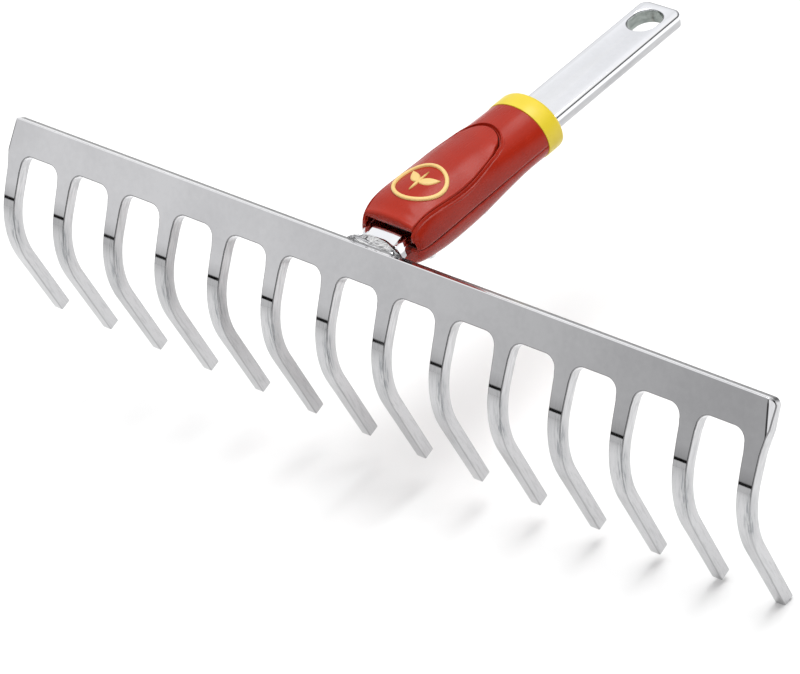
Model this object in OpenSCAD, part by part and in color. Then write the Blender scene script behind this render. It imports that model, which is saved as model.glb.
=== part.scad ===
// Soil-rake head with a quick-release housing on a flat tang.
// Y = 0 is the mouth of the housing, where the handle seats. +Y runs along
// the tang away from the rake, +X along the bar, +Z up. Tang axis is Y.

/* [Rake head] */
// Length of the bar
bar_len = 343; // [330:1:360]
// Distance between neighbouring tines
tine_pitch = 25.7; // [25:0.1:26.2]
// Thickness of the sheet
sheet_t = 4.6; // [4:0.1:5]
// Height of the bar above the gaps
bar_h = 12.3; // [11:0.1:14]
// Width of a tine below its root
tine_w = 5.8; // [5:0.1:7]
// Lean of the bar from upright, in degrees
lean = 30; // [28:1:32]
// Depth at which the tines start to bend
bend_start = 28.1; // [27:0.1:30]
// Radius of the bend on its front face
bend_r = 35.2; // [33:0.1:38]
// Angle of the bend
bend_angle = 48.4; // [46:0.1:51]
// Straight length of a tine after the bend
tip_len = 29.9; // [27:0.1:32]
// Width of a tine at its tip; it narrows evenly from the bend.
tip_w = 4.1; // [3.5:0.1:5.5]

/* [Tang] */
// Width of the tang
tang_w = 18.5; // [18:0.1:19]
// Thickness of the tang
tang_t = 6; // [5.6:0.1:6]
// Length of tang that stands out of the housing
tang_out = 76.5; // [70:0.5:85]
// Width of the hanging slot
slot_w = 12.4; // [10:0.1:13]
// Length of the hanging slot
slot_len = 15; // [14:0.5:17]

/* [Housing] */
// Wall of the shells
wall = 2.2; // [2:0.1:2.4]
// Gap around the release pad
pad_gap = 0.35; // [0.3:0.05:0.5]
// Outer radius of the emblem ring
emblem_r = 9.9; // [9:0.1:10]

/* [Hidden] */
$fn = 48;
head_y = -89.5;
head_z = 5.6;
root_w = tine_w + 1.2;
knee = bend_start + bend_r * sin(bend_angle);
reach = knee + tip_len * cos(bend_angle);
widths = [[bend_start, tine_w], [knee, (tine_w + tip_w) / 2], [reach, tip_w], [reach + 30, tip_w]];
gap_r = 4.6;
tang_front = -90;
shell_front = -77.5;
shell_rear = -8.5;
pad_front = -76.9;
pad_rear = -21.6;
pad_floor = 6;
socket_front = -38.5;
pivot_y = -47;
pivot_z = 7;
spring_y = -64;
emblem_y = -58.5;
boss_x = 10.2;
boss_y = [-70, -42];
tang_top = tang_t / 2;
slot_back = 10.7;
steel = [0.78, 0.79, 0.81];
red = [0.62, 0.07, 0.05];
yellow = [0.93, 0.80, 0.12];
black = [0.10, 0.10, 0.11];

// Housing section at each station: y, half width, height above and below
// the parting plane, and the exponent of its superellipse.
stations = [[-77.5, 12.4, 8.8, 8.0, 2.4], [-76, 13.6, 10.2, 8.6, 2.4],
            [-73, 14.2, 11.9, 9.2, 2.5], [-69, 14.4, 13.5, 9.9, 2.5],
            [-62, 14.5, 14.4, 10.9, 2.5], [-52, 14.4, 14.3, 11.2, 2.5],
            [-41, 14.3, 13.6, 10.7, 2.45], [-30, 14.2, 12.7, 9.4, 2.3],
            [-19, 14.1, 12.4, 8.8, 2.1], [-8.5, 14.2, 12.3, 9.1, 2],
            [-1.2, 14.2, 12.2, 9.0, 2], [0, 13.6, 11.6, 8.4, 2]];

function col(k) = [for (s = stations) [s[0], s[k]]];
function width_at(y) = lookup(y, col(1));
function top_at(y) = lookup(y, col(2));
function under_at(y) = lookup(y, col(3));
function power_at(y) = lookup(y, col(4));
function bend(c, e) = sign(c) * pow(abs(c), 2 / e);
function section(a, up, down, e, count) =
    [for (i = [0:count - 1]) let (t = 360 * (i + 0.5) / count)
        [a * bend(cos(t), e), (sin(t) > 0 ? up : down) * bend(sin(t), e)]];

// Solid between two stations with the housing's outline grown by g.
module housing(g, y0, y1, steps = 12, count = 32) {
    ys = [for (k = [0:steps]) y0 + (y1 - y0) * k / steps];
    pts = [for (y = ys)
        for (p = section(width_at(y) + g, top_at(y) + g, under_at(y) + g,
                         power_at(y), count)) [p[0], y, p[1]]];
    sides = [for (k = [0:steps - 1]) for (i = [0:count - 1])
        let (a = k * count + i, b = k * count + (i + 1) % count)
        each [[a, b, b + count], [a, b + count, a + count]]];
    ends = [[for (i = [count - 1:-1:0]) i],
            [for (i = [0:count - 1]) steps * count + i]];
    polyhedron(points = pts, faces = concat(sides, ends), convexity = 4);
}

// Straight tube core along Y with the socket's section grown by g.
module socket_core(g, y0, y1) {
    translate([0, y1, 0])
        rotate([90, 0, 0])
            linear_extrude(y1 - y0)
                polygon(section(12.4 + g, 10.5 + g, 7.4 + g, 2, 48));
}

module along_x(length) {
    rotate([90, 0, 90])
        linear_extrude(length, center = true)
            children();
}

module place_head() {
    translate([0, head_y, head_z])
        rotate([-lean, 0, 0])
            children();
}

// ---- rake head -------------------------------------------------------

// Side view of the sheet: flat bar, bend, and straight tip.
module sheet_side() {
    steps = 16;
    tip = tip_len * [sin(bend_angle), -cos(bend_angle)];
    arc = [for (k = [0:steps]) bend_angle * k / steps];
    front = [for (t = arc) [bend_r - bend_r * cos(t), -bend_start - bend_r * sin(t)]];
    back_r = bend_r - sheet_t;
    back = [for (t = arc) [bend_r - back_r * cos(t), -bend_start - back_r * sin(t)]];
    polygon(concat([[sheet_t, 0], [0, 0]], front,
                   [front[steps] + tip, back[steps] + tip],
                   [for (k = [steps:-1:0]) back[k]]));
}

module gap_front() {
    wide = tine_pitch - root_w;
    low = [for (p = widths) [(tine_pitch - p[1]) / 2, -p[0]]];
    top = -bar_h;
    for (s = [-1, 1])
        translate([s * (wide / 2 - gap_r), top - gap_r])
            circle(r = gap_r);
    translate([-wide / 2 + gap_r, top - gap_r])
        square([wide - 2 * gap_r, gap_r]);
    polygon(concat([[-wide / 2, top - gap_r], [wide / 2, top - gap_r]], low,
                   [for (i = [len(low) - 1:-1:0]) [-low[i][0], low[i][1]]]));
}

module head_front() {
    outer = 6.5 * tine_pitch + tine_w / 2;
    half = bar_len / 2;
    corner = 2.6;
    right = concat(
        [for (t = [90:-15:0]) [half - corner + corner * cos(t), -corner + corner * sin(t)]],
        [[half, -bar_h + 2], [outer + 0.5, -bar_h - gap_r]],
        [for (p = widths) [6.5 * tine_pitch + p[1] / 2, -p[0]]]);
    left = [for (i = [len(right) - 1:-1:0]) [-right[i][0], right[i][1]]];
    difference() {
        polygon(concat(right, left));
        for (i = [-6:6])
            translate([i * tine_pitch, 0])
                gap_front();
    }
}

module rake_head() {
    color(steel)
        place_head()
            difference() {
                intersection() {
                    along_x(bar_len + 2)
                        sheet_side();
                    rotate([90, 0, 0])
                        translate([0, 0, -61])
                            linear_extrude(62)
                                head_front();
                }
                for (s = [0, 1])
                    mirror([s, 0, 0])
                        translate([bar_len / 2 - 2.3, 0, 0])
                            rotate([0, -5.8, -45])
                                translate([0, -20, -40])
                                    cube([20, 40, 80]);
            }
}

module weld_dome() {
    place_head()
        translate([0, sheet_t, -3.8])
            intersection() {
                scale([12.6, 4.6, 6.2])
                    sphere(r = 1, $fn = 32);
                translate([-20, 0, -20])
                    cube([40, 20, 40]);
            }
}

module weld_collar() {
    color(steel)
        difference() {
            weld_dome();
            tang_bar();
        }
}

// ---- tang --------------------------------------------------------------

module tang_section() {
    r = 2;
    for (x = [-1, 1])
        for (z = [-1, 1])
            translate([x * (tang_w / 2 - r), z * (tang_t / 2 - r)])
                circle(r = r);
    square([tang_w - 2 * r, tang_t], center = true);
    square([tang_w, tang_t - 2 * r], center = true);
}

module tang_bar() {
    r = 5;
    intersection() {
        translate([0, tang_out, 0])
            rotate([90, 0, 0])
                linear_extrude(tang_out - tang_front)
                    tang_section();
        translate([0, 0, -10])
            linear_extrude(20)
                union() {
                    translate([-15, tang_front])
                        square([30, tang_out - tang_front - r]);
                    translate([-tang_w / 2 + r, tang_out - 2 * r])
                        square([tang_w - 2 * r, 2 * r]);
                    for (s = [-1, 1])
                        translate([s * (tang_w / 2 - r), tang_out - r])
                            circle(r = r);
                }
    }
}

module neck_rails() {
    for (s = [-1, 1])
        translate([s * 8.2 - 0.8, -88, tang_top - 0.5])
            cube([1.6, 9.8, 1.7]);
}

module hanging_slot() {
    r = slot_w / 2;
    span = slot_len - slot_w;
    translate([0, tang_out - slot_back, -10])
        linear_extrude(20)
            union() {
                for (s = [-1, 1])
                    translate([0, s * span / 2])
                        circle(r = r);
                square([slot_w, span], center = true);
            }
}

module tang() {
    color(steel)
        difference() {
            union() {
                tang_bar();
                difference() {
                    neck_rails();
                    weld_dome();
                }
            }
            place_head()
                translate([-20, sheet_t - 60, -60])
                    cube([40, 60, 120]);
            hanging_slot();
            for (s = [-1, 1])
                for (y = boss_y)
                    translate([s * boss_x, y, -10])
                        cylinder(r = 2.7, h = 20);
            for (y = [pivot_y - 6.2, pivot_y + 6.2])
                translate([0, y, -10])
                    cylinder(r = 1.5, h = 20);
            translate([0, spring_y, tang_top - 2])
                cylinder(r = 2, h = 3);
        }
}

// ---- housing -----------------------------------------------------------

// Pad outline seen from above, grown by g, with extra room at the nose.
module pad_plan(g, nose = 0) {
    half = [[pad_front - g, 10.3 + g], [-69.4, 11.3 + g], [-60, 12.1 + g],
            [-52, 12.3 + g], [-45, 12.0 + g], [-36, 10.8 + g],
            [-31.5, 9.6 + g + nose / 2]];
    nose_r = 8.8 + g + nose;
    arc = [for (t = [70:-14:14]) [pad_rear + g + nose - nose_r * (1 - cos(t)),
                                  nose_r * sin(t)]];
    right = concat(half, arc);
    polygon(concat([for (p = right) [p[1], p[0]]],
                   [[0, pad_rear + g + nose]],
                   [for (i = [len(right) - 1:-1:0]) [-right[i][1], right[i][0]]]));
}

module boss_bores(r) {
    for (s = [-1, 1])
        for (y = boss_y)
            translate([s * boss_x, y, -20])
                cylinder(r = r, h = 40);
}

module upper_shell() {
    color(red)
        difference() {
            union() {
                difference() {
                    intersection() {
                        housing(0, shell_front, shell_rear);
                        translate([-20, -80, 0.1])
                            cube([40, 80, 20]);
                    }
                    housing(-wall, -75.2, socket_front, 8);
                    socket_core(0.1, socket_front - 1, 1);
                    translate([0, 0, 3.1])
                        linear_extrude(20)
                            pad_plan(pad_gap, 0.9);
                    translate([-10.3 - pad_gap, -80, 3.1])
                        cube([20.6 + 2 * pad_gap, 3.5, 20]);
                    translate([-9.9, -80, -5])
                        cube([19.8, 10, 12]);
                }
                for (s = [-1, 1])
                    for (y = boss_y)
                        translate([s * boss_x, y, 0.1])
                            cylinder(r = 2.4, h = 3);
            }
            boss_bores(1.1);
        }
}

module lower_shell() {
    color(red)
        difference() {
            union() {
                difference() {
                    intersection() {
                        housing(0, shell_front, shell_rear);
                        translate([-20, -80, -20.1])
                            cube([40, 80, 20]);
                    }
                    housing(-wall, -75.2, socket_front, 8);
                    socket_core(0.1, socket_front - 1, 1);
                    translate([-9.9, -80, -tang_top])
                        cube([19.8, 10, 12]);
                }
                for (s = [-1, 1])
                    for (y = boss_y)
                        translate([s * boss_x, y, -8])
                            cylinder(r = 2.4, h = 7.9);
                for (y = [-73, -57, -45])
                    translate([-12, y, -8.5])
                        cube([24, 1.8, 8.5 - tang_top]);
            }
            boss_bores(1.15);
            for (s = [-1, 1])
                for (y = boss_y)
                    translate([s * boss_x, y, -20])
                        cylinder(r = 2.1, h = 14);
        }
}

module collar_ring() {
    color(yellow)
        difference() {
            housing(0.25, shell_rear + 0.1, 0, 6, 48);
            socket_core(0.05, -20, 5);
        }
}

module socket_sleeve() {
    color(black)
        difference() {
            socket_core(0, socket_front, -0.6);
            socket_core(-1, socket_front - 1, 1);
            translate([-4.5, socket_front - 1, 0])
                cube([9, 17, 20]);
        }
}

// ---- release pad ---------------------------------------------------------

module pad_block(g) {
    intersection() {
        housing(g, pad_front, -20, 12);
        translate([0, 0, pad_floor])
            linear_extrude(20)
                pad_plan(0);
    }
}

module ring_column() {
    translate([0, emblem_y, 8])
        difference() {
            cylinder(r = emblem_r, h = 12);
            translate([0, 0, -1])
                cylinder(r = emblem_r - 1.3, h = 14);
        }
}

module sprout() {
    square([1.1, 9], center = true);
    for (s = [0, 1])
        mirror([s, 0])
            intersection() {
                translate([-1, 4.8])
                    circle(r = 5.2);
                translate([5.4, -0.4])
                    circle(r = 5.2);
            }
}

module badge_column() {
    translate([0, emblem_y - 0.8, 8])
        linear_extrude(12)
            sprout();
}

module release_pad() {
    color(red)
        difference() {
            union() {
                difference() {
                    pad_block(0);
                    intersection() {
                        housing(-2, -74.6, socket_front - 0.8, 8);
                        linear_extrude(20)
                            pad_plan(-1.7);
                    }
                    socket_core(0.35, socket_front - 2, 5);
                }
                intersection() {
                    union() {
                        translate([0, pivot_y, pivot_z])
                            rotate([0, 90, 0])
                                cylinder(r = 2.5, h = 15, center = true);
                        translate([-7.5, pivot_y - 1.5, pivot_z])
                            cube([15, 3, 8]);
                        translate([0, spring_y, 11.2])
                            cylinder(r = 3.6, h = 4);
                        translate([0, spring_y, 9.4])
                            cylinder(r = 1.7, h = 4);
                        translate([-9, -72, 6.6])
                            cube([18, 1.5, 8]);
                    }
                    housing(-1, -76, -25, 8);
                }
            }
            translate([0, pivot_y, pivot_z])
                rotate([0, 90, 0])
                    cylinder(r = 1.55, h = 30, center = true);
            translate([-4.1, socket_front - 0.3, 5])
                cube([8.2, 15.2, 5.9]);
            for (y = [-35.5, -30])
                translate([0, y, 8])
                    cylinder(r = 1, h = 3.9);
            difference() {
                union() {
                    ring_column();
                    badge_column();
                }
                housing(-0.5, -76, -25, 8);
            }
        }
}

module emblem_ring() {
    color(yellow)
        difference() {
            intersection() {
                housing(0.5, -75, -30, 8);
                ring_column();
            }
            housing(-0.5, -76, -25, 8);
        }
}

module emblem_badge() {
    color(yellow)
        difference() {
            intersection() {
                housing(0.5, -75, -30, 8);
                badge_column();
            }
            housing(-0.5, -76, -25, 8);
        }
}

// ---- mechanism -----------------------------------------------------------

module pivot_bracket() {
    color(steel)
        difference() {
            union() {
                translate([-6.8, pivot_y - 8.4, tang_top])
                    cube([13.6, 16.8, 1.2]);
                translate([-9, pivot_y - 2.2, tang_top])
                    cube([18, 4.4, 1.2]);
                for (s = [-1, 1])
                    translate([s * 8.4, pivot_y, pivot_z]) {
                        rotate([0, 90, 0])
                            cylinder(r = 2.2, h = 1.2, center = true);
                        translate([-0.6, -2.2, tang_top + 1 - pivot_z])
                            cube([1.2, 4.4, pivot_z - tang_top - 1]);
                    }
            }
            translate([0, pivot_y, pivot_z])
                rotate([0, 90, 0])
                    cylinder(r = 1.5, h = 30, center = true);
            for (y = [pivot_y - 6.2, pivot_y + 6.2])
                translate([0, y, 0])
                    cylinder(r = 1.5, h = 10);
        }
}

module pivot_pin() {
    color(steel)
        translate([0, pivot_y, pivot_z])
            rotate([0, 90, 0])
                cylinder(r = 1.5, h = 19, center = true);
}

module bracket_rivets() {
    color(steel)
        for (y = [pivot_y - 6.2, pivot_y + 6.2])
            translate([0, y, 0]) {
                translate([0, 0, -tang_top])
                    cylinder(r = 1.5, h = tang_t + 1.4);
                translate([0, 0, tang_top + 1.2])
                    cylinder(r = 2.4, h = 0.9);
            }
}

// Round wire wound as a helix between two heights.
module return_spring() {
    turns = 5;
    per_turn = 14;
    around = 8;
    coil_r = 2.75;
    wire_r = 0.4;
    low = tang_top + 0.8 + wire_r;
    high = 11.2 - wire_r;
    last = turns * per_turn;
    pts = [for (k = [0:last]) let (t = 360 * k / per_turn)
        for (i = [0:around - 1]) let (a = 360 * i / around)
            [(coil_r + wire_r * cos(a)) * cos(t),
             (coil_r + wire_r * cos(a)) * sin(t),
             low + (high - low) * k / last + wire_r * sin(a)]];
    sides = [for (k = [0:last - 1]) for (i = [0:around - 1])
        let (a = k * around + i, b = k * around + (i + 1) % around)
        each [[a, b, b + around], [a, b + around, a + around]]];
    ends = [[for (i = [around - 1:-1:0]) i],
            [for (i = [0:around - 1]) last * around + i]];
    color(steel)
        translate([0, spring_y, 0])
            polyhedron(points = pts, faces = concat(sides, ends), convexity = 8);
}

module spring_cup() {
    color(black)
        translate([0, spring_y, tang_top]) {
            translate([0, 0, -2])
                cylinder(r = 2, h = 2);
            cylinder(r = 4.2, h = 0.8);
            cylinder(r = 1.9, h = 2.4);
        }
}

module latch_hook() {
    color(steel)
        difference() {
            union() {
                translate([-3.8, socket_front + 0.1, 9.4])
                    cube([7.6, 14.5, 1.5]);
                translate([-3.8, socket_front + 13, 6.3])
                    cube([7.6, 1.6, 4]);
            }
            for (y = [-35.5, -30])
                translate([0, y, 5])
                    cylinder(r = 1, h = 10);
        }
}

module latch_rivets() {
    color(steel)
        for (y = [-35.5, -30])
            translate([0, y, 8.7]) {
                cylinder(r = 1, h = 3.2);
                cylinder(r = 1.8, h = 0.7);
            }
}

module shell_screws() {
    color(steel)
        for (s = [-1, 1])
            for (y = boss_y)
                translate([s * boss_x, y, 0]) {
                    translate([0, 0, -7])
                        cylinder(r = 1.1, h = 10);
                    difference() {
                        translate([0, 0, -7.4])
                            cylinder(r = 2, h = 1.4);
                        translate([0, 0, -8])
                            cylinder(r = 1, h = 1.3, $fn = 6);
                    }
                }
}

module stop_cushion() {
    color(black)
        translate([-4.5, -73.2, tang_top])
            cube([9, 3.6, 1.2]);
}

rake_head();
tang();
weld_collar();
upper_shell();
lower_shell();
collar_ring();
socket_sleeve();
release_pad();
emblem_ring();
emblem_badge();
pivot_bracket();
pivot_pin();
bracket_rivets();
return_spring();
spring_cup();
latch_hook();
latch_rivets();
shell_screws();
stop_cushion();
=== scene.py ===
import math
from bisect import bisect

import bmesh
import bpy
from mathutils import Matrix, Vector


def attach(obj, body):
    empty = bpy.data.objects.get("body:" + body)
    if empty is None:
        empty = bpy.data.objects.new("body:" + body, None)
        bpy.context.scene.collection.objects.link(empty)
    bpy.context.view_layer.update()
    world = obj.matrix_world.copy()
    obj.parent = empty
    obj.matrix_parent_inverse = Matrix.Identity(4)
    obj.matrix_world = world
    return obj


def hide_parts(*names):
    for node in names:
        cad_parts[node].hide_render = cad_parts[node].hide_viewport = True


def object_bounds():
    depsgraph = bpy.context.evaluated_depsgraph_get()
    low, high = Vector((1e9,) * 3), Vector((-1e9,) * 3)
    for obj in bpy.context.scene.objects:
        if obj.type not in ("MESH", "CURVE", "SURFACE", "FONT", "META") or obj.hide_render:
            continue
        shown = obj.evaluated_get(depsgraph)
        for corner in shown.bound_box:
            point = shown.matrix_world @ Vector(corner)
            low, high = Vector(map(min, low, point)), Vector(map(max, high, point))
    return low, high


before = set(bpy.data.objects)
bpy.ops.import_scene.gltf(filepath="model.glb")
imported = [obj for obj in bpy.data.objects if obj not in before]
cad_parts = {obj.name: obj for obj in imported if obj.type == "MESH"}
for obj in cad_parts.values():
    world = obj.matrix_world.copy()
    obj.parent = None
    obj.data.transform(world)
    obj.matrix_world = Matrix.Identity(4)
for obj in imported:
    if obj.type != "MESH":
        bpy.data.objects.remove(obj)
cad_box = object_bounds()
scene = bpy.context.scene
MM = 0.001

# ---- camera ---------------------------------------------------------------

CAM_TARGET = Vector((21.7, -102.0, -16.1)) * MM
CAM_DISTANCE = 1338.9 * MM
CAM_AZIMUTH = math.radians(48.0)
CAM_ELEVATION = math.radians(36.64)
CAM_ROLL = math.radians(12.32)
CAM_LENS = 180.0
SENSOR = 36.0


def make_camera():
    cos_e, sin_e = math.cos(CAM_ELEVATION), math.sin(CAM_ELEVATION)
    back = Vector((math.sin(CAM_AZIMUTH) * cos_e, -math.cos(CAM_AZIMUTH) * cos_e, sin_e))
    level = Vector((0, 0, 1)).cross(back).normalized()
    upright = back.cross(level)
    up = upright * math.cos(CAM_ROLL) + level * math.sin(CAM_ROLL)
    right = up.cross(back)
    data = bpy.data.cameras.new("camera")
    data.lens = CAM_LENS
    data.sensor_width = SENSOR
    data.sensor_fit = "HORIZONTAL"
    data.clip_start = 0.05
    data.clip_end = 50
    cam = bpy.data.objects.new("camera", data)
    turn = Matrix((right, up, back)).transposed().to_4x4()
    cam.matrix_world = Matrix.Translation(CAM_TARGET + back * CAM_DISTANCE) @ turn
    scene.collection.objects.link(cam)
    scene.camera = cam


make_camera()

# ---- sizes of the tang, in millimetres ----------------------------------------

TANG_W, TANG_T, TANG_OUT, TANG_FRONT = 18.5, 6.0, 76.3, -84.6
SLOT_W, SLOT_LEN, SLOT_BACK, LIFT = 11.8, 14.2, 11.1, 0.5
END_CORNER, EDGE_ROUND, SLOT_ROUND = 3.8, 1.6, 0.6

# ---- materials --------------------------------------------------------------


class Nodes:
    """A material's node tree, with short calls for the nodes used here."""

    def __init__(self, name):
        self.mat = bpy.data.materials.new(name)
        self.mat.use_nodes = True
        self.tree = self.mat.node_tree
        self.shader = self.tree.nodes["Principled BSDF"]
        self.place = self.add("ShaderNodeTexCoord").outputs["Object"]
        self.height = None

    def add(self, kind, **values):
        node = self.tree.nodes.new(kind)
        for key, value in values.items():
            setattr(node, key, value)
        return node

    def feed(self, socket, source):
        if isinstance(source, bpy.types.NodeSocket):
            self.tree.links.new(source, socket)
        else:
            socket.default_value = source

    def stretch(self, scale):
        node = self.add("ShaderNodeMapping")
        self.feed(node.inputs["Vector"], self.place)
        node.inputs["Scale"].default_value = scale
        return node.outputs["Vector"]

    def noise(self, scale, detail=3.0, rough=0.5, where=None, distort=0.0):
        node = self.add("ShaderNodeTexNoise")
        self.feed(node.inputs["Vector"], where or self.place)
        node.inputs["Scale"].default_value = scale
        node.inputs["Detail"].default_value = detail
        node.inputs["Roughness"].default_value = rough
        node.inputs["Distortion"].default_value = distort
        return node.outputs["Fac"]

    def ramp(self, source, low, high, out_low=0.0, out_high=1.0):
        node = self.add("ShaderNodeMapRange", clamp=True)
        for key, value in (("Value", source), ("From Min", low), ("From Max", high),
                           ("To Min", out_low), ("To Max", out_high)):
            self.feed(node.inputs[key], value)
        return node.outputs["Result"]

    def math(self, kind, a, b=0.0):
        node = self.add("ShaderNodeMath", operation=kind)
        self.feed(node.inputs[0], a)
        self.feed(node.inputs[1], b)
        return node.outputs[0]

    def split(self, source):
        """The X, Y and Z of a vector."""
        node = self.add("ShaderNodeSeparateXYZ")
        self.feed(node.inputs[0], source)
        return node.outputs["X"], node.outputs["Y"], node.outputs["Z"]

    def cloudy(self):
        """A slow cloud, and a tone from 0 to 1 of that cloud with fine spots in it."""
        cloud = self.noise(28, 4, 0.6)
        spots = self.math("MULTIPLY", self.noise(420, 2, 0.5), 0.25)
        tone = self.math("ADD", self.math("MULTIPLY", cloud, 0.75), spots)
        return cloud, self.ramp(tone, 0.36, 0.62)

    def mix(self, share, a, b):
        node = self.add("ShaderNodeMix", data_type="RGBA")
        self.feed(node.inputs["Factor"], share)
        self.feed(node.inputs[6], a)
        self.feed(node.inputs[7], b)
        return node.outputs[2]

    def edge(self, low=0.515, high=0.60):
        node = self.add("ShaderNodeNewGeometry")
        return self.ramp(node.outputs["Pointiness"], low, high)

    def bump(self, source, distance, strength=1.0):
        node = self.add("ShaderNodeBump")
        self.feed(node.inputs["Height"], source)
        node.inputs["Distance"].default_value = distance
        node.inputs["Strength"].default_value = strength
        if self.height is not None:
            self.feed(node.inputs["Normal"], self.height)
        self.height = node.outputs["Normal"]
        self.feed(self.shader.inputs["Normal"], self.height)

    def set(self, **sockets):
        for key, value in sockets.items():
            self.feed(self.shader.inputs[key.replace("_", " ")], value)
        return self


def rgb(r, g, b):
    return (r, g, b, 1.0)


def plated(name, light, dark, rough_low, rough_high, shades=None):
    """Bright zinc plating: cloudy tone, fine scratches, slight waviness."""
    n = Nodes(name)
    _, tone = n.cloudy()
    worn = n.edge()
    colour = n.mix(n.math("MULTIPLY", worn, 0.6), n.mix(tone, dark, light), rgb(0.9, 0.9, 0.9))
    if shades:
        colour = shades(n, colour)
    n.set(Base_Color=colour, Metallic=1.0)
    scratches = n.noise(900, 2, 0.6, n.stretch((0.06, 1.0, 1.0)))
    rough = n.ramp(n.noise(60, 3, 0.6), 0.3, 0.7, rough_low, rough_high)
    n.set(Roughness=n.math("ADD", rough, n.ramp(scratches, 0.55, 0.75, 0.0, 0.05)))
    n.bump(n.noise(35, 2, 0.5), 0.00003, 0.6)
    n.bump(scratches, 0.000004, 0.3)
    return n.mat


def tine_metal(n, colour, cloud, streaks, lower):
    """Duller metal below the bar, and streaked metal on the sheared sides."""
    dull = n.mix(n.ramp(cloud, 0.35, 0.65), rgb(0.48, 0.48, 0.49), rgb(0.58, 0.58, 0.59))
    colour = n.mix(lower, colour, dull)
    facing, _, _ = n.split(n.add("ShaderNodeNewGeometry").outputs["Normal"])
    flank = n.ramp(n.math("ABSOLUTE", facing), 0.6, 0.85)
    sheared = n.mix(n.ramp(streaks, 0.35, 0.65), rgb(0.48, 0.48, 0.49), rgb(0.64, 0.64, 0.65))
    return n.mix(flank, colour, sheared)


def tine_marks_and_reflection(n, across, depth, into, streaks, lower):
    """Drawing streaks on the tines, and a painted dark reflection inside the bend on each tine's +X
    half.
    """
    drawing = n.math("MULTIPLY", lower, n.ramp(streaks, 0.50, 0.70))
    bent = n.math("MULTIPLY", n.ramp(depth, 0.030, 0.037), n.ramp(depth, 0.044, 0.053, 1.0, 0.0))
    ridge = n.math("MULTIPLY", n.ramp(into, 0.0012, 0.0038, 1.0, 0.0), n.ramp(across, 0.0, 0.6))
    # Painted reflection: dark inside the bend, on the +X half near the front face.
    painted_bend_reflection = n.math("MULTIPLY", n.math("MULTIPLY", bent, ridge), n.ramp(streaks, 0.38, 0.60))
    return n.math("ADD", n.math("MULTIPLY", drawing, 0.35), n.math("MULTIPLY", painted_bend_reflection, 0.95))


def rake_steel(name, rim):
    """Plated sheet steel; rim is how strongly the bevelled edges are painted dark, a painted
    reflection.
    """
    n = Nodes(name)
    sheet = n.add("ShaderNodeAttribute", attribute_name="sheet")
    across, depth, into = n.split(sheet.outputs["Vector"])
    along, _, _ = n.split(n.place)
    drawn = n.add("ShaderNodeCombineXYZ")
    n.feed(drawn.inputs["X"], along)
    n.feed(drawn.inputs["Y"], n.math("MULTIPLY", depth, 0.10))
    n.feed(drawn.inputs["Z"], into)
    streaks = n.noise(1500, 3, 0.6, drawn.outputs[0])
    cloud, tone = n.cloudy()
    colour = n.mix(tone, rgb(0.72, 0.72, 0.74), rgb(0.80, 0.80, 0.82))
    lower = n.ramp(depth, 0.024, 0.034)
    colour = tine_metal(n, colour, cloud, streaks, lower)
    # Drawing streaks and the painted dark reflection in each bend darken the colour.
    marks_and_reflection = tine_marks_and_reflection(n, across, depth, into, streaks, lower)
    colour = n.mix(marks_and_reflection, colour, rgb(0.30, 0.31, 0.32))
    # Sheared top edge: along the rear of the top face a band painted dark, a painted reflection; the
    # band is also rougher.
    on_top = n.ramp(depth, 0.0004, 0.0010, 1.0, 0.0)
    painted_reflection_band = n.math("MULTIPLY", on_top, n.ramp(into, 0.0014, 0.0024))
    band_noise = n.ramp(n.noise(1400, 3, 0.6), 0.35, 0.65)
    colour = n.mix(painted_reflection_band, colour, n.mix(band_noise, rgb(0.16, 0.16, 0.165), rgb(0.27, 0.27, 0.275)))
    # Bevelled edges painted near-black, less down the tines: a painted dark reflection.
    if rim:
        fade = n.ramp(depth, 0.030, 0.040, rim, 0.3 * rim)
        painted_dark_rim = n.math("MULTIPLY", n.ramp(depth, 0.001, 0.002), fade)
        colour = n.mix(painted_dark_rim, colour, rgb(0.06, 0.06, 0.06))
    n.set(Base_Color=colour, Metallic=1.0)
    scratches = n.noise(900, 2, 0.6, n.stretch((0.06, 1.0, 1.0)))
    rough = n.ramp(n.noise(60, 3, 0.6), 0.3, 0.7, 0.03, 0.06)
    rough = n.math("ADD", rough, n.ramp(depth, 0.033, 0.042, 0.0, 0.12))
    rough = n.math("ADD", rough, n.math("MULTIPLY", painted_reflection_band, 0.25))
    n.set(Roughness=n.math("ADD", rough, n.ramp(scratches, 0.55, 0.75, 0.0, 0.04)))
    n.bump(n.noise(35, 2, 0.5), 0.00002, 0.6)
    n.bump(n.math("MULTIPLY", streaks, lower), 0.00002, 0.4)
    return n.mat


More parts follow.
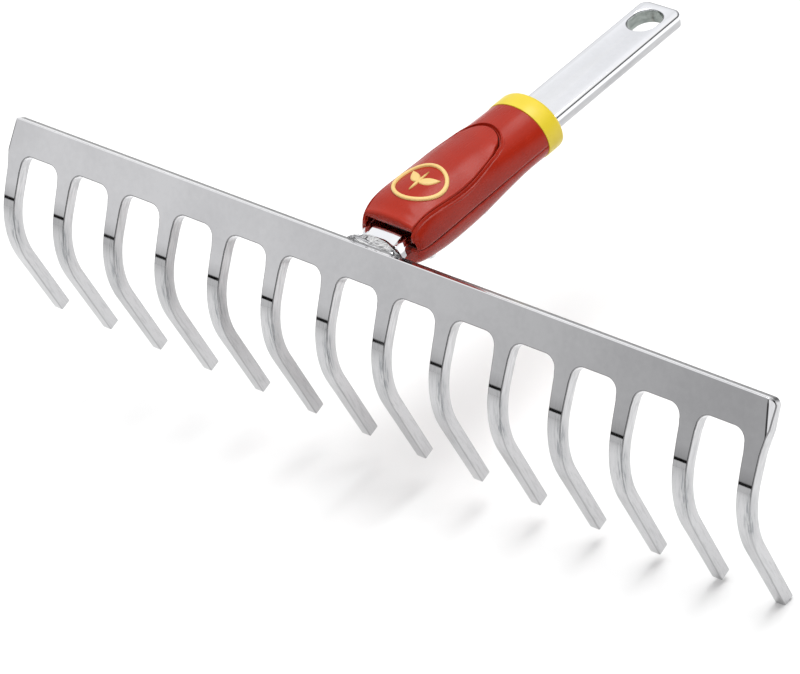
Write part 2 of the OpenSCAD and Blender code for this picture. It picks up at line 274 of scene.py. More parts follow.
def tang_painted_shade(n, colour):
    """Sides painted greyer below their rounding, and the wall inside the slot painted dark: both are
    painted shade.
    """
    x, y, z = n.split(n.place)
    wide = n.math("ABSOLUTE", x)
    # Painted shade: the lower part of each side is greyer.
    low = n.ramp(z, 0.0010, 0.0016, 1.0, 0.0)
    side = n.math("MULTIPLY", n.ramp(wide, 0.0088, 0.0091), low)
    grain = n.ramp(n.noise(600, 3, 0.6, n.stretch((1.0, 0.15, 1.0))), 0.3, 0.7)
    colour = n.mix(side, colour, n.mix(grain, rgb(0.38, 0.38, 0.39), rgb(0.50, 0.50, 0.51)))
    # Distance from the straight line that runs down the middle of the slot.
    centre = (TANG_OUT - SLOT_BACK) * MM
    past = n.math("SUBTRACT", n.math("ABSOLUTE", n.math("SUBTRACT", y, centre)), 0.0013)
    past = n.math("MAXIMUM", past, 0.0)
    squares = n.math("ADD", n.math("MULTIPLY", past, past), n.math("MULTIPLY", wide, wide))
    in_slot = n.ramp(n.math("SQRT", squares), 0.0061, 0.0063, 1.0, 0.0)
    # Painted shade: the wall inside the slot is dark greenish grey.
    wall = n.math("MULTIPLY", in_slot, n.ramp(z, 0.0027, 0.0031, 1.0, 0.0))
    return n.mix(wall, colour, n.mix(grain, rgb(0.16, 0.18, 0.17), rgb(0.30, 0.33, 0.31)))


def moulded(name, light, dark, rough, gloss=0.4):
    """Moulded plastic: slight tone drift, fine skin, scuffs along edges."""
    n = Nodes(name)
    drift = n.ramp(n.noise(45, 3, 0.55), 0.3, 0.7)
    colour = n.mix(drift, dark, light)
    worn = n.math("MULTIPLY", n.edge(0.52, 0.64), n.ramp(n.noise(350, 3, 0.6), 0.4, 0.6))
    pale = rgb(*(min(1.0, c * 1.25 + 0.05) for c in light[:3]))
    colour = n.mix(n.math("MULTIPLY", worn, 0.5), colour, pale)
    n.set(Base_Color=colour, Specular_IOR_Level=gloss)
    scuff = n.noise(260, 4, 0.7, n.stretch((1.0, 0.25, 1.0)))
    n.set(Roughness=n.ramp(scuff, 0.3, 0.75, rough, rough + 0.14))
    n.set(IOR=1.5)
    n.bump(n.noise(900, 2, 0.5), 0.00001, 0.5)
    n.bump(n.noise(70, 2, 0.5), 0.00002, 0.4)
    return n.mat


def welded():
    """Weld flange: bright bead with dark heat-tinted ripples."""
    n = Nodes("weld_bead")
    ripple = n.noise(190, 3, 0.6, n.stretch((0.7, 1.6, 1.6)), 1.2)
    line = n.math("ABSOLUTE", n.math("SUBTRACT", ripple, 0.45))
    pale = n.mix(n.ramp(ripple, 0.35, 0.6), rgb(0.80, 0.80, 0.82), rgb(0.98, 0.98, 0.98))
    n.set(Base_Color=n.mix(n.ramp(line, 0.004, 0.022), rgb(0.05, 0.05, 0.055), pale))
    n.set(Metallic=1.0)
    n.set(Roughness=n.ramp(ripple, 0.3, 0.7, 0.22, 0.10))
    n.bump(ripple, 0.0005, 1.0)
    return n.mat


STEEL = rake_steel("plated_steel", 0.0)
# Same steel with its bevelled edges painted dark: a painted reflection.
PAINTED_RIM_STEEL = rake_steel("plated_rim_painted_dark", 0.7)
TANG = plated("plated_tang", rgb(0.86, 0.87, 0.91), rgb(0.80, 0.81, 0.84), 0.03, 0.09,
              shades=tang_painted_shade)
INNER = plated("inner_steel", rgb(0.62, 0.63, 0.65), rgb(0.45, 0.46, 0.48), 0.25, 0.4)
WIRE = plated("spring_wire", rgb(0.55, 0.56, 0.58), rgb(0.38, 0.39, 0.41), 0.22, 0.35)
WELD = welded()
RED_LIGHT, RED_DARK = rgb(0.335, 0.018, 0.006), rgb(0.265, 0.012, 0.004)
RED = moulded("red_plastic", RED_LIGHT, RED_DARK, 0.20, 0.22)
YELLOW = moulded("yellow_plastic", rgb(0.68, 0.53, 0.03), rgb(0.60, 0.46, 0.02), 0.26)
MARK = moulded("yellow_mark", rgb(0.72, 0.50, 0.19), rgb(0.62, 0.42, 0.14), 0.35)
BLACK = moulded("black_plastic", rgb(0.022, 0.022, 0.024), rgb(0.012, 0.012, 0.013), 0.42)
RUBBER = moulded("rubber", rgb(0.020, 0.020, 0.020), rgb(0.010, 0.010, 0.010), 0.62)

# ---- mesh helpers -----------------------------------------------------------


def make_object(name, bm, material, node, body, smooth=40):
    """Turns a bmesh in millimetres into a piece that stands for a CAD node."""
    bmesh.ops.remove_doubles(bm, verts=bm.verts, dist=1e-4)
    bmesh.ops.recalc_face_normals(bm, faces=bm.faces)
    bmesh.ops.scale(bm, vec=(MM, MM, MM), verts=bm.verts)
    mesh = bpy.data.meshes.new(name)
    limit = math.radians(smooth)
    for face in bm.faces:
        face.smooth = True
    for edge in bm.edges:
        if len(edge.link_faces) == 2 and edge.calc_face_angle(0) > limit:
            edge.smooth = False
    bm.to_mesh(mesh)
    bm.free()
    mesh.materials.append(material)
    obj = bpy.data.objects.new(name, mesh)
    scene.collection.objects.link(obj)
    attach(obj, body)
    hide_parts(node)
    return obj


def bevel(obj, width, segments, angle):
    mod = obj.modifiers.new("bevel", "BEVEL")
    mod.width = width * MM
    mod.segments = segments
    mod.limit_method = "ANGLE"
    mod.angle_limit = math.radians(angle)
    mod.use_clamp_overlap = True
    mod.harden_normals = True
    mod.miter_outer = "MITER_ARC"
    return mod


def solidify(obj, thick):
    mod = obj.modifiers.new("wall", "SOLIDIFY")
    mod.thickness = thick * MM
    mod.offset = -1
    mod.use_even_offset = True
    mod.use_quality_normals = True
    return mod


def grid_faces(bm, rows, closed=False):
    """Quads between rows of vertices that all have the same length."""
    for a, b in zip(rows, rows[1:]):
        count = len(a)
        for j in range(count if closed else count - 1):
            k = (j + 1) % count
            quad = []
            for v in (a[j], a[k], b[k], b[j]):
                if v not in quad:
                    quad.append(v)
            if len(quad) > 2 and bm.faces.get(quad) is None:
                bm.faces.new(quad)


# ---- rake head --------------------------------------------------------------

BAR_LEN, PITCH, SHEET_T, BAR_H = 343.0, 25.7, 4.6, 12.3
TINE_W, TIP_W, LEAN, BEND_START, BEND_R = 5.8, 4.1, 30.0, 28.6, 35.4
BEND_ANGLE, TIP_LEN, GAP_R = 48.4, 29.9, 4.6
HEAD_Y, HEAD_Z = -89.5, 5.6
TINES, ROOT, CORNER_R = 14, 19.0, 2.6
# The sheet turns a little over a short stretch before the bend proper.
LEAD_IN, LEAD_TURN = 9.0, 2.2
PATH_STEP = 0.25


def sheet_turn(s):
    """Angle of the sheet at s: flat, a slight lead-in, the bend, then straight."""
    lead = max(0.0, min(1.0, (s - BEND_START + LEAD_IN) / LEAD_IN))
    turn = math.radians(LEAD_TURN) * lead * lead
    return min(turn + max(s - BEND_START, 0.0) / BEND_R, math.radians(BEND_ANGLE))


def sheet_path():
    """Front edge of the sheet from the side, in short steps."""
    pts, v, w = [], 0.0, 0.0
    end = BEND_START + math.radians(BEND_ANGLE) * BEND_R + TIP_LEN
    for k in range(int(end / PATH_STEP) + 2):
        pts.append((v, w))
        turn = sheet_turn((k + 0.5) * PATH_STEP)
        v += PATH_STEP * math.cos(turn)
        w += PATH_STEP * math.sin(turn)
    return pts


PATH = sheet_path()


def leaned(x, v, w):
    """Place of a point x along the bar, v down its front face and w behind it."""
    lean = math.radians(LEAN)
    return Vector((x, HEAD_Y + w * math.cos(lean) - v * math.sin(lean),
                   HEAD_Z - w * math.sin(lean) - v * math.cos(lean)))


def sheet_point(x, s, t):
    """Place of a point x along the bar, s down the sheet, t into its thickness."""
    k = min(int(s / PATH_STEP), len(PATH) - 2)
    part = s / PATH_STEP - k
    v = PATH[k][0] + (PATH[k + 1][0] - PATH[k][0]) * part
    w = PATH[k][1] + (PATH[k + 1][1] - PATH[k][1]) * part
    turn = sheet_turn(s)
    return leaned(x, v - t * math.sin(turn), w + t * math.cos(turn))


def gap_outline():
    """Half outline of a gap, from the middle of its top to the foot of its corner."""
    half = (PITCH - TINE_W - 1.2) / 2
    pts = [(0.0, BAR_H)]
    for k in range(9):
        a = math.radians(90 - 90 * k / 8)
        pts.append((half - GAP_R + GAP_R * math.cos(a), BAR_H + GAP_R - GAP_R * math.sin(a)))
    return pts


def head_outline():
    """Outline of the bar and the tines' roots, as (x, s), from the +X top corner round."""
    outer = (TINES - 1) / 2 * PITCH + TINE_W / 2
    half = BAR_LEN / 2
    right = [(half - CORNER_R + CORNER_R * math.sin(math.radians(15 * k)),
              CORNER_R - CORNER_R * math.cos(math.radians(15 * k))) for k in range(7)]
    right += [(half, BAR_H - 2), (outer + 0.5, BAR_H + GAP_R), (outer + 0.25, ROOT)]
    outline = list(right)
    gap = gap_outline()
    low = (PITCH - TINE_W) / 2 - 0.3
    for i in range(TINES - 2, -1, -1):
        x0 = (i - (TINES - 2) / 2) * PITCH
        outline.append((x0 + low, ROOT))
        outline += [(x0 + x, s) for x, s in reversed(gap)]
        outline += [(x0 - x, s) for x, s in gap[1:]]
        outline.append((x0 - low, ROOT))
    return outline + [(-x, s) for x, s in reversed(right)]


def find_roots(outline):
    """Index of each tine's two root points, by (tine, whether it is on the +X side)."""
    roots = {}
    middle = (TINES - 1) / 2
    for i, (x, s) in enumerate(outline):
        if s == ROOT:
            tine = round((x - 0.001) / PITCH + middle)
            roots[tine, x > tine * PITCH - middle * PITCH] = i
    return roots


def tine_depths():
    """Depths down the sheet at which a tine has a ring of vertices."""
    arc = math.radians(BEND_ANGLE) * BEND_R
    depths = [ROOT + (BEND_START - ROOT) * k / 5 for k in range(6)]
    depths += [BEND_START + arc * k / 22 for k in range(1, 23)]
    return depths + [depths[-1] + TIP_LEN * k / 4 for k in range(1, 5)]


def cut_corner(bm, side):
    """Sloping facet on the front corner at one end of the bar."""
    half = BAR_LEN / 2
    a = sheet_point(side * (half - 2.3), 0, 0)
    b = sheet_point(side * (half - 0.5), BAR_H, 0)
    c = sheet_point(side * half, 0, 2.3)
    normal = (b - a).cross(c - a).normalized() * side
    if normal.x * side < 0:
        normal.negate()
    cut = bmesh.ops.bisect_plane(bm, geom=bm.verts[:] + bm.edges[:] + bm.faces[:],
                                 plane_co=a, plane_no=normal, clear_outer=True)
    edges = [e for e in cut["geom_cut"] if isinstance(e, bmesh.types.BMEdge)]
    bmesh.ops.contextual_create(bm, geom=edges)


def rake_head():
    bm = bmesh.new()
    outline = head_outline()
    sheet = bm.verts.layers.float_vector.new("sheet")

    def vert(x, s, t, across):
        """Vertex that also carries its place on the sheet, for the material."""
        made = bm.verts.new(sheet_point(x, s, t))
        made[sheet] = (across, s * MM, t * MM)
        return made

    def tine_side(x):
        """From -1 to 1 across the pitch round each tine, 0 at the tine's middle."""
        return (x / (PITCH / 2) + TINES) % 2 - 1

    front = [vert(x, s, 0, 3 * tine_side(x)) for x, s in outline]
    rear = [vert(x, s, SHEET_T, 3 * tine_side(x)) for x, s in outline]
    bm.faces.new(front)
    bm.faces.new(list(reversed(rear)))
    for i in range(len(outline)):
        k = (i + 1) % len(outline)
        if outline[i][1] == ROOT == outline[k][1] and abs(outline[i][0] - outline[k][0]) < 9:
            continue
        bm.faces.new((front[i], rear[i], rear[k], front[k]))
    roots = find_roots(outline)
    depths = tine_depths()
    bent = depths[-1] - BEND_START
    for i in range(TINES):
        x0 = (i - (TINES - 1) / 2) * PITCH
        minus, plus = roots[i, False], roots[i, True]
        rings = [[front[minus], front[plus], rear[plus], rear[minus]]]
        for s in depths[1:]:
            rise = max(0.0, (BEND_START - s) / (BEND_START - ROOT))
            high = (TINE_W + (TIP_W - TINE_W) * max(0.0, s - BEND_START) / bent) / 2
            low = -high
            low += (outline[minus][0] - x0 - low) * rise
            high += (outline[plus][0] - x0 - high) * rise
            rings.append([vert(x0 + dx, s, t, math.copysign(1, dx)) for dx, t in
                          ((low, 0), (high, 0), (high, SHEET_T), (low, SHEET_T))])
        grid_faces(bm, rings, closed=True)
        bm.faces.new(rings[-1])
    for side in (-1, 1):
        cut_corner(bm, side)
    obj = make_object("rake_head_v", bm, STEEL, "rake_head", "head")
    # The bevel strips take the second material, with the painted dark reflection on them.
    obj.data.materials.append(PAINTED_RIM_STEEL)
    bevel(obj, 0.5, 3, 28).material = 1


# ---- tang -------------------------------------------------------------------

def tang_outline(inset, flat):
    """Half outline of the tang on its +X side, and the slot's, drawn in by their roundings."""
    r_end = END_CORNER - inset
    wide, far = TANG_W / 2 - inset, TANG_OUT - inset
    pts = [(0.0, TANG_FRONT), (wide, TANG_FRONT)]
    pts += [(wide - r_end + r_end * math.cos(math.radians(a)),
             far - r_end + r_end * math.sin(math.radians(a))) for a in range(0, 91, 9)]
    pts.append((0.0, far))
    r_slot = SLOT_W / 2 + flat
    mid, span = TANG_OUT - SLOT_BACK, (SLOT_LEN - SLOT_W) / 2
    slot = [(r_slot * math.sin(math.radians(a)), mid + span + r_slot * math.cos(math.radians(a)))
            for a in range(0, 91, 6)]
    slot += [(r_slot * math.sin(math.radians(a)), mid - span + r_slot * math.cos(math.radians(a)))
             for a in range(90, 181, 6)]
    return pts, slot


def tang():
    """Flat bar with a slot: two halves share the middle line, so no face has a hole."""
    bm = bmesh.new()
    levels = []
    for a in range(0, 91, 10):
        s, c = math.sin(math.radians(a)), math.cos(math.radians(a))
        levels.append((EDGE_ROUND * (1 - s), -TANG_T / 2 + EDGE_ROUND * (1 - c),
                       SLOT_ROUND * (1 - s), -TANG_T / 2 + SLOT_ROUND * (1 - c)))
    levels += [(p, -z, q, -y) for p, z, q, y in reversed(levels)]
    for side in (-1, 1):
        outer, slot = [], []
        for inset, z_out, flat, z_in in levels:
            pts, hole = tang_outline(inset, flat)
            outer.append([bm.verts.new((side * x, y, z_out + LIFT)) for x, y in pts])
            slot.append([bm.verts.new((side * x, y, z_in + LIFT)) for x, y in hole])
        grid_faces(bm, outer)
        grid_faces(bm, slot)
        for k in (0, -1):
            bm.faces.new(outer[k] + slot[k])
    make_object("tang_v", bm, TANG, "tang", "head")


def neck_rails():
    """Raised edges of the tang between the weld and the housing, and the web between them."""
    bm = bmesh.new()
    for side in (-1, 1):
        rows = []
        for k in range(17):
            t = k / 16
            y = -86.0 + 8.4 * t
            lift = 0.25 + 1.25 * min(1.0, 1.6 * t) ** 0.8 + 0.12 * math.sin(5 * t + side)
            x = side * (8.15 + 0.25 * math.sin(3 * t))
            row = [(x - side * 2.4, TANG_T / 2 - 0.5), (x - side * 1.3, TANG_T / 2 + 0.1),
                   (x - side * 0.7, TANG_T / 2 + 0.75 * lift), (x - side * 0.2, TANG_T / 2 + lift),
                   (x + side * 0.35, TANG_T / 2 + 0.9 * lift), (x + side * 0.75, TANG_T / 2),
                   (x + side * 0.9, TANG_T / 2 - 2.0)]
            rows.append([bm.verts.new((px, y, pz)) for px, pz in row])
        grid_faces(bm, rows, closed=True)
        bm.faces.new(rows[0])
        bm.faces.new(rows[-1])
    rows = []
    for k in range(13):
        t = k / 12
        top = TANG_T / 2 + 0.1 + 1.75 * t + 0.05 * math.sin(9 * t)
        row = [(-6.4, 1.0), (-6.4, top - 0.3), (-3.2, top), (0, top + 0.06), (3.2, top),
               (6.4, top - 0.3), (6.4, 1.0)]
        rows.append([bm.verts.new((x, -86.4 + 8.8 * t, z)) for x, z in row])
    grid_faces(bm, rows, closed=True)
    bm.faces.new(rows[0])
    bm.faces.new(rows[-1])
    make_object("neck_rails_v", bm, TANG, "tang", "head", 50)


def weld_collar():
    """Domed flange of weld metal behind the bar, with a rippled skin."""
    bm = bmesh.new()
    rings, around, deep = [], 96, 16
    for i in range(deep + 1):
        lat = math.pi / 2 * i / deep
        ring = []
        for j in range(around):
            a = 2 * math.pi * j / around
            wave = math.sin(5 * a + 4 * lat) + 0.6 * math.sin(11 * a - 6 * lat + 1)
            ripple = 1 + 0.022 * wave * math.cos(lat) ** 0.5
            x = 14.2 * math.cos(lat) ** 0.75 * math.cos(a) * ripple
            v = 3.8 - 7.1 * math.cos(lat) ** 0.75 * math.sin(a) * ripple
            w = SHEET_T + 5.0 * math.sin(lat) ** 0.85 + 0.10 * wave * math.sin(2 * lat)
            ring.append(bm.verts.new(leaned(x, v, w)))
        rings.append(ring)
    grid_faces(bm, rings, closed=True)
    bm.faces.new(rings[0])
    make_object("weld_collar_v", bm, WELD, "weld_collar", "head", 70)


# ---- housing ----------------------------------------------------------------

STATIONS = ((-77.5, 12.4, 8.8, 8.0, 2.4), (-76, 13.6, 10.2, 8.6, 2.4),
            (-73, 14.2, 11.9, 9.2, 2.5), (-69, 14.4, 13.5, 9.9, 2.5),
            (-62, 14.5, 14.4, 10.9, 2.5), (-52, 14.4, 14.3, 11.2, 2.5),
            (-41, 14.3, 13.6, 10.7, 2.45), (-30, 14.2, 12.7, 9.4, 2.3),
            (-19, 14.1, 12.4, 8.8, 2.1), (-8.5, 14.2, 12.3, 9.1, 2.0),
            (-1.2, 14.2, 12.2, 9.0, 2.0), (0, 13.6, 11.6, 8.4, 2.0))
PAD_PLAN = ((-77.2, 10.3), (-69.4, 11.3), (-60, 12.1), (-52, 12.3), (-45, 12.0),
            (-36, 10.8), (-31.5, 9.75), (-27.4, 8.2))
SHELL_FRONT, SHELL_REAR = -77.5, -8.5
PAD_FRONT, PAD_REAR, PAD_FLOOR, NOSE_R = -76.6, -21.6, 6.8, 8.8
# The pad's sides run straight into its round nose between these two places.
BLEND_Y, NOSE_Y = -34.0, -27.4
EMBLEM_X, EMBLEM_Y, EMBLEM_R = 0.5, -59.0, 9.9
LEAF_RISE = 0.42


def curve(points, col, x):
    """Smooth curve through one column of a table of stations."""
    xs = [p[0] for p in points]
    ys = [p[col] for p in points]
    i = min(max(bisect(xs, x) - 1, 0), len(xs) - 2)
    h = xs[i + 1] - xs[i]
    t = min(max((x - xs[i]) / h, 0.0), 1.0)

    def slope(k):
        a, b = max(k - 1, 0), min(k + 1, len(xs) - 1)
        return (ys[b] - ys[a]) / (xs[b] - xs[a]) * h

    t2, t3 = t * t, t * t * t
    return ((2 * t3 - 3 * t2 + 1) * ys[i] + (t3 - 2 * t2 + t) * slope(i)
            + (3 * t2 - 2 * t3) * ys[i + 1] + (t3 - t2) * slope(i + 1))


def shape_at(y):
    return tuple(curve(STATIONS, col, y) for col in (1, 2, 3, 4))


def skin(angle, y):
    """Point on the housing: angle 0 is the +X parting line, 90 the top."""
    wide, up, down, power = shape_at(y)
    c, s = math.cos(math.radians(angle)), math.sin(math.radians(angle))
    tall = up if s > 0 else down
    return Vector((math.copysign(abs(c) ** (2 / power), c) * wide, y,
                   math.copysign(abs(s) ** (2 / power), s) * tall))


def angle_for(x, y):
    """Angle at which the housing's upper skin is x from the middle."""
    wide, _, _, power = shape_at(y)
    return math.degrees(math.acos(min(max(x / wide, 0.0), 1.0) ** (power / 2)))


def top_z(x, y):
    wide, up, _, power = shape_at(y)
    return up * max(1 - min(abs(x) / wide, 1.0) ** power, 0.0) ** (1 / power)


def pad_half(y, gap=0.0, nose=0.0):
    """Half width of the pad's outline at y, grown by gap, and by nose at its rear."""
    reach = PAD_REAR + gap + nose
    if y >= reach:
        return 0.0
    if y < NOSE_Y:
        return curve(PAD_PLAN, 1, y) + gap + nose * max(0.0, (y - BLEND_Y) / (NOSE_Y - BLEND_Y))
    r = NOSE_R + gap + nose
    back = reach - y
    return math.sqrt(max(r * r - (r - back) ** 2, 0.0)) if back < r else r


def shell_rows(stretches):
    """Stations along the housing; each stretch (from, to) has its count, closer at its ends."""
    ys = []
    for (a, b), count in stretches:
        ys += [a + (b - a) * (0.5 - 0.5 * math.cos(math.pi * k / count)) for k in range(count)]
    ys.append(stretches[-1][0][1])
    return ys


def upper_shell():
    gap, nose, rim_r = 0.12, 0.9, 0.35
    grow = gap + rim_r
    reach = PAD_REAR + gap + nose + rim_r
    ys = shell_rows((((SHELL_FRONT, -73), 8), ((-73, -30), 30), ((-30, reach), 26),
                     ((reach, SHELL_REAR), 10)))
    bm = bmesh.new()
    rows = {-1: [], 1: []}
    steps = 24
    for y in ys:
        half = pad_half(y, grow, nose)
        edge = angle_for(half, y)
        for side in (-1, 1):
            row = []
            for j in range(steps + 1):
                p = skin(0.7 + (edge - 0.7) * j / steps, y)
                row.append(bm.verts.new((side * p.x, p.y, p.z)))
            rows[side].append(row)
    for side in (-1, 1):
        grid_faces(bm, rows[side])
    open_rows = [k for k, y in enumerate(ys) if y < reach - 1e-6]
    chain = [rows[1][k][-1] for k in open_rows] + [rows[1][open_rows[-1] + 1][-1]]
    chain += [rows[-1][k][-1] for k in reversed(open_rows)]
    shifts = []
    for i, v in enumerate(chain):
        before, after = chain[max(i - 1, 0)].co, chain[min(i + 1, len(chain) - 1)].co
        along = (after - before).to_2d().normalized()
        shifts.append(Vector((-along.y, along.x)))
    shifts[0], shifts[-1] = Vector((-1, 0)), Vector((1, 0))
    strips = [chain]
    for go, rise, shelf in ((0.15, 0.12, 0), (0.4, 0.22, 0), (0.7, 0.20, 0), (0.9, 0.08, 0),
                            (1.0, -0.12, 0), (1.0, -1.7, 0), (1.0, -2.3, 1.0)):
        strip = []
        for v, d in zip(chain, shifts):
            rear = min(max((v.co.y - BLEND_Y) / (NOSE_Y - BLEND_Y), 0.0), 1.0)
            reach_in = rim_r * go + shelf * rear
            strip.append(bm.verts.new((v.co.x + d.x * reach_in, v.co.y + d.y * reach_in,
                                       v.co.z + rise)))
        strips.append(strip)
    grid_faces(bm, strips)
    obj = make_object("upper_shell_v", bm, RED, "upper_shell", "head", 60)
    solidify(obj, 1.2)


def lower_shell():
    ys = shell_rows((((SHELL_FRONT, -73), 8), ((-73, SHELL_REAR), 30)))
    bm = bmesh.new()
    rows = []
    for shrink in (0.25, 0.5, 0.75, 0.9):
        rows.append([bm.verts.new((p.x * shrink, p.y, p.z * shrink - 0.2 * (1 - shrink)))
                     for p in (skin(-0.6 - 178.8 * j / 48, SHELL_FRONT) for j in range(49))])
    for y in ys:
        rows.append([bm.verts.new(skin(-0.6 - 178.8 * j / 48, y)) for j in range(49)])
    grid_faces(bm, rows)
    bm.faces.new(rows[0])
    obj = make_object("lower_shell_v", bm, RED, "lower_shell", "head", 50)
    solidify(obj, 1.6)


def collar_ring():
    """Yellow ring: outer skin, rounded rear edge, and the bore round the liner."""
    bm = bmesh.new()
    profile = [(0.25, SHELL_REAR + 0.12), (0.3, -5.5), (0.3, -1.6), (0.05, -0.7), (-0.5, -0.15),
               (-1.1, 0.0)]
    rings = []
    count = 96
    for grow, y in profile:
        wide, up, down, power = shape_at(min(y, -1.3))
        ring = []
        for j in range(count):
            c, s = math.cos(2 * math.pi * j / count), math.sin(2 * math.pi * j / count)
            ring.append(bm.verts.new(((wide + grow) * c, y, ((up if s > 0 else down) + grow) * s)))
        rings.append(ring)
    for y in (-0.2, SHELL_REAR + 0.12):
        ring = []
        for j in range(count):
            c, s = math.cos(2 * math.pi * j / count), math.sin(2 * math.pi * j / count)
            ring.append(bm.verts.new((12.45 * c, y, (10.55 if s > 0 else 7.45) * s)))
        rings.append(ring)
    rings.append(rings[0])
    grid_faces(bm, rings, closed=True)
    obj = make_object("collar_ring_v", bm, YELLOW, "collar_ring", "head", 50)
    bevel(obj, 0.25, 2, 50)


# ---- release pad --------------------------------------------------------------


def pad_skin(x, y):
    """Height of the pad's top: flatter across than the shell, proud at its edge."""
    y = max(y, -74.2)
    half = max(pad_half(y) if y < NOSE_Y else NOSE_R, 0.1)
    crown = top_z(0, y) - 0.8 + 0.6 * min(max((y + 46) / 10, 0.0), 1.0)
    edge = top_z(half, y) + 0.25
    return crown - (crown - edge) * (x / half) ** 2


def pad_top(bm, side_r, lip_r):
    """Top of the pad inside its rounded edge: rows from front to nose, and the nose's tip."""
    steps, straight_end = 28, -30.4
    front = PAD_FRONT + lip_r
    reach = PAD_REAR - side_r
    nose = NOSE_R - side_r
    ys = [front + (straight_end - front) * k / 30 for k in range(31)]
    ys += [reach - nose * (1 - math.sin(math.radians(a))) for a in range(12, 90, 6)]
    rows = []
    for y in sorted(set(round(y, 4) for y in ys)):
        if y > straight_end:
            back = reach - y
            half = math.sqrt(max(nose * nose - (nose - back) ** 2, 0.01))
        else:
            half = pad_half(y) - side_r
        rows.append([bm.verts.new((x, y, pad_skin(x, y))) for x in
                     (half * math.sin(math.pi / 2 * (2 * j / steps - 1)) for j in range(steps + 1))])
    grid_faces(bm, rows)
    tip = bm.verts.new((0, reach, pad_skin(0, reach)))
    for a, b in zip(rows[-1], rows[-1][1:]):
        bm.faces.new((a, b, tip))
    return rows, tip


def pad_floor(v):
    """Height of the skirt's foot below v: over the liner at the rear, level elsewhere."""
    if v.co.y < -39:
        return PAD_FLOOR
    sleeve = 10.9 * math.sqrt(max(1 - (v.co.x / 12.75) ** 2, 0.0))
    return max(PAD_FLOOR, min(sleeve, v.co.z - 0.8))


def release_pad():
    bm = bmesh.new()
    side_r, lip_r, lip_drop = 0.4, 1.4, 1.4
    rows, tip = pad_top(bm, side_r, lip_r)
    side_up = [row[-1] for row in rows]
    side_down = [row[0] for row in reversed(rows)]
    rim = side_up + [tip] + side_down + rows[0][1:-1]
    outs = []
    for i, v in enumerate(rim):
        before, after = rim[i - 1].co, rim[(i + 1) % len(rim)].co
        along = (after - before).to_2d().normalized()
        out = Vector((along.y, -along.x)) * side_r
        if v in (rows[0][0], rows[0][-1]):
            out = Vector((math.copysign(side_r, v.co.x), -lip_r))
        elif v in rows[0]:
            out = Vector((0, -lip_r))
        outs.append(out)
    rings = [rim]
    for angle in (15, 30, 45, 60, 75, 90):
        go, fall = math.sin(math.radians(angle)), 1 - math.cos(math.radians(angle))
        ring = []
        for v, out in zip(rim, outs):
            drop = lip_drop if out.y < -side_r * 1.01 else side_r
            ring.append(bm.verts.new((v.co.x + out.x * go, v.co.y + out.y * go,
                                      v.co.z - drop * fall)))
        rings.append(ring)
    edge = rings[-1]
    for share in (0.5, 1.0):
        rings.append([bm.verts.new((v.co.x, v.co.y, v.co.z + (pad_floor(v) - v.co.z) * share))
                      for v in edge])
    grid_faces(bm, rings, closed=True)
    obj = make_object("release_pad_v", bm, RED, "release_pad", "pad", 50)
    solidify(obj, 1.3)


def lifted(x, y, lift):
    """Point above the pad's skin by lift along the skin's normal."""
    d = 0.05
    gx = (pad_skin(x + d, y) - pad_skin(x - d, y)) / (2 * d)
    gy = (pad_skin(x, y + d) - pad_skin(x, y - d)) / (2 * d)
    normal = Vector((-gx, -gy, 1)).normalized()
    return Vector((x, y, pad_skin(x, y))) + normal * lift


def emblem_ring():
    bm = bmesh.new()
    profile = ((-0.70, -0.3), (-0.69, 0.45), (-0.46, 0.76), (0.0, 0.84), (0.46, 0.76),
               (0.69, 0.45), (0.70, -0.3))
    rings = []
    for k in range(96):
        a = 2 * math.pi * k / 96
        ring = []
        for out, lift in profile:
            r = EMBLEM_R - 0.7 + out
            x, y = EMBLEM_X + r * math.cos(a), EMBLEM_Y + r * math.sin(a)
            ring.append(bm.verts.new(lifted(x, y, lift)))
        rings.append(ring)
    rings.append(rings[0])
    grid_faces(bm, rings, closed=True)
    make_object("emblem_ring_v", bm, MARK, "emblem_ring", "pad", 60)


def leaf(bm, base, tip, width):
    """Pointed leaf between two points, crowned, with a groove for its midrib."""
    along = Vector(tip) - Vector(base)
    across = Vector((-along.y, along.x)).normalized()
    rows = []
    for i in range(15):
        t = i / 14
        half = width * math.sin(math.pi * t ** 0.8) ** 0.9 + 0.02
        centre = Vector(base) + along * t
        row = []
        for j in range(-5, 6):
            p = centre + across * (half * j / 5)
            edge = abs(j) / 5
            lift = -0.3 if edge == 1 else LEAF_RISE * (1 - edge ** 3) + 0.12
            if j == 0:
                lift -= 0.14
            row.append(bm.verts.new(lifted(EMBLEM_X + p.x, p.y, lift)))
        rows.append(row)
    grid_faces(bm, rows)


def emblem_badge():
    bm = bmesh.new()
    y0 = EMBLEM_Y
    leaf(bm, (0.2, y0 - 1.2), (6.0, y0 + 3.8), 1.9)
    leaf(bm, (-0.2, y0 - 1.2), (-6.0, y0 + 3.8), 1.9)
    leaf(bm, (0.0, y0 - 5.6), (0.0, y0 + 5.2), 0.62)
    make_object("emblem_badge_v", bm, MARK, "emblem_badge", "pad", 60)


rake_head()
tang()
neck_rails()
weld_collar()
upper_shell()
lower_shell()
collar_ring()
release_pad()
emblem_ring()
emblem_badge()

CAD_LOOKS = {"socket_sleeve": BLACK, "pivot_bracket": INNER, "pivot_pin": INNER,
             "bracket_rivets": INNER, "return_spring": WIRE, "spring_cup": BLACK,
             "latch_hook": INNER, "latch_rivets": INNER, "shell_screws": INNER,
             "stop_cushion": RUBBER}


def dress(name, look):
    """Material and a small rounding for a CAD piece that is shown as it is."""
    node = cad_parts[name]
    if not node.material_slots:
        node.data.materials.append(look)
    for slot in node.material_slots:
        slot.link = "OBJECT"
        slot.material = look
    mod = node.modifiers.new("bevel", "BEVEL")
    mod.width = 0.15 * MM
    mod.segments = 2
    mod.limit_method = "ANGLE"
    mod.angle_limit = math.radians(40)


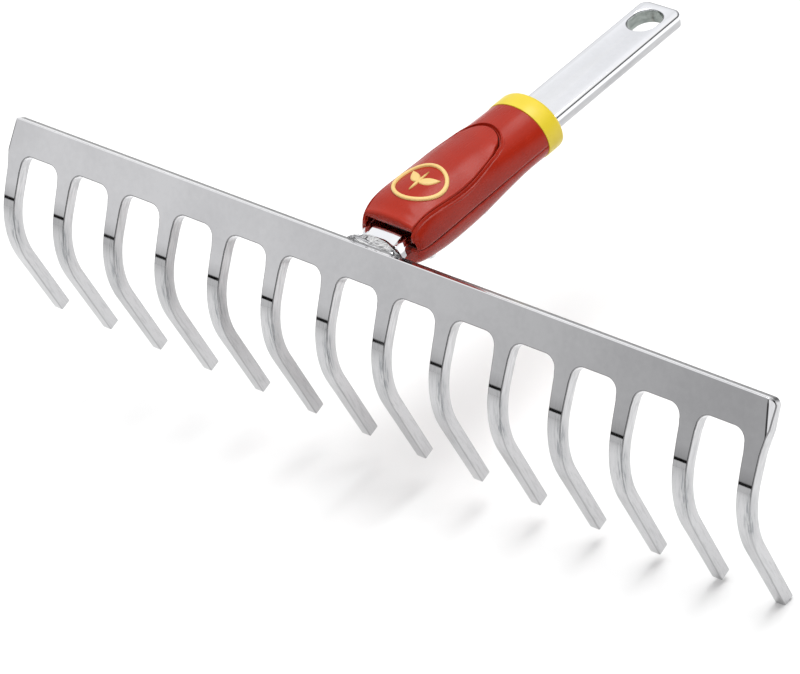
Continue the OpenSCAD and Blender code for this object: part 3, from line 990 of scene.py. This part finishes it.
for name, look in CAD_LOOKS.items():
    dress(name, look)

# ---- stage ------------------------------------------------------------------

FLOOR_TILT = 0.088
LIGHT_AIM = Vector((0, -0.06, 0))


def make_floor():
    """Pale table; the rake stands on the tine at its +X end, so it slopes a little."""
    bm = bmesh.new()
    bmesh.ops.create_circle(bm, cap_ends=True, segments=96, radius=2.5)
    mesh = bpy.data.meshes.new("floor")
    bm.to_mesh(mesh)
    bm.free()
    floor = bpy.data.objects.new("floor", mesh)
    low = cad_box[0][2] - 0.0002
    floor.location = (0, -0.05, low - FLOOR_TILT * 0.168)
    floor.rotation_euler = (0, -math.atan(FLOOR_TILT), 0)
    n = Nodes("floor_white")
    pale = n.mix(n.noise(6, 2), rgb(0.84, 0.84, 0.84), rgb(0.86, 0.86, 0.86))
    n.set(Base_Color=pale, Roughness=0.85, Specular_IOR_Level=0.1)
    mesh.materials.append(n.mat)
    scene.collection.objects.link(floor)


def area_light(name, place, size, power):
    data = bpy.data.lights.new(name, "AREA")
    data.shape = "RECTANGLE"
    data.size, data.size_y = size
    data.energy = power
    light = bpy.data.objects.new(name, data)
    light.location = place
    direction = LIGHT_AIM - Vector(place)
    light.rotation_euler = direction.to_track_quat("-Z", "Y").to_euler()
    scene.collection.objects.link(light)


class Surround(Nodes):
    """The world's node tree, with the same short calls as a material's."""

    def __init__(self, name):
        self.world = bpy.data.worlds.new(name)
        self.world.use_nodes = True
        self.tree = self.world.node_tree
        self.way = self.add("ShaderNodeTexCoord").outputs["Generated"]

    def grade(self, value, low, high, stops):
        """Grey ramp over value between low and high; stops are (value, level)."""
        node = self.add("ShaderNodeValToRGB")
        self.feed(node.inputs["Fac"], self.ramp(value, low, high))
        elements = node.color_ramp.elements
        while len(elements) < len(stops):
            elements.new(0.5)
        for element, (at, level) in zip(elements, stops):
            element.position = (at - low) / (high - low)
            element.color = rgb(level, level, level)
        return node.outputs["Color"]

    def toward(self, direction):
        """How closely the way looked along agrees with a direction."""
        node = self.add("ShaderNodeVectorMath", operation="DOT_PRODUCT")
        self.feed(node.inputs[0], self.way)
        self.feed(node.inputs[1], direction)
        return node.outputs["Value"]

    def blend(self, kind, a, b, factor=1.0):
        node = self.add("ShaderNodeMix", data_type="RGBA", blend_type=kind)
        for socket, value in ((0, factor), (6, a), (7, b)):
            self.feed(node.inputs[socket], value)
        return node.outputs[2]


def make_world():
    """Studio surround: bright ceiling, wall lighter to -X, dark band at the horizon,
    and one bright patch towards the front right."""
    n = Surround("studio")
    x, _, z = n.split(n.way)
    height = n.math("ADD", z, n.math("MULTIPLY", x, -FLOOR_TILT))
    wall = n.grade(x, -1.0, 1.0, (
        (-1.0, 0.85), (-0.64, 0.74), (-0.614, 0.68), (-0.593, 0.60), (-0.573, 0.55),
        (-0.552, 0.48), (-0.52, 0.41), (-0.2, 0.26), (0.2, 0.10), (1.0, 0.03)))
    share = n.grade(height, 0.0, 1.0, ((0.0, 0.0), (0.34, 0.0), (0.62, 1.0)))
    above = n.grade(height, 0.0, 0.3, ((0.0, 0.0), (0.127, 0.0), (0.140, 0.9), (0.20, 1.0)))
    below = n.grade(height, -0.2, 0.2, ((-0.2, 0.8), (0.084, 0.7), (0.092, 0.004)))
    upper = n.blend("MIX", wall, rgb(1.05, 1.05, 1.05), share)
    both = n.blend("ADD", n.blend("MULTIPLY", upper, above), below)
    patch = n.grade(n.toward((0.75, -0.64, 0.15)), 0.9, 1.0, ((0.9, 0.0), (0.960, 0.0), (0.975, 1.0)))
    n.feed(n.tree.nodes["Background"].inputs["Color"], n.blend("ADD", both, patch))
    scene.world = n.world


make_floor()
area_light("key", (0.12, 0.10, 1.25), (0.80, 0.80), 9)
area_light("sheen", (0.06, 0.43, 0.78), (0.42, 0.26), 1.6)
make_world()
scene.view_settings.view_transform = "Standard"
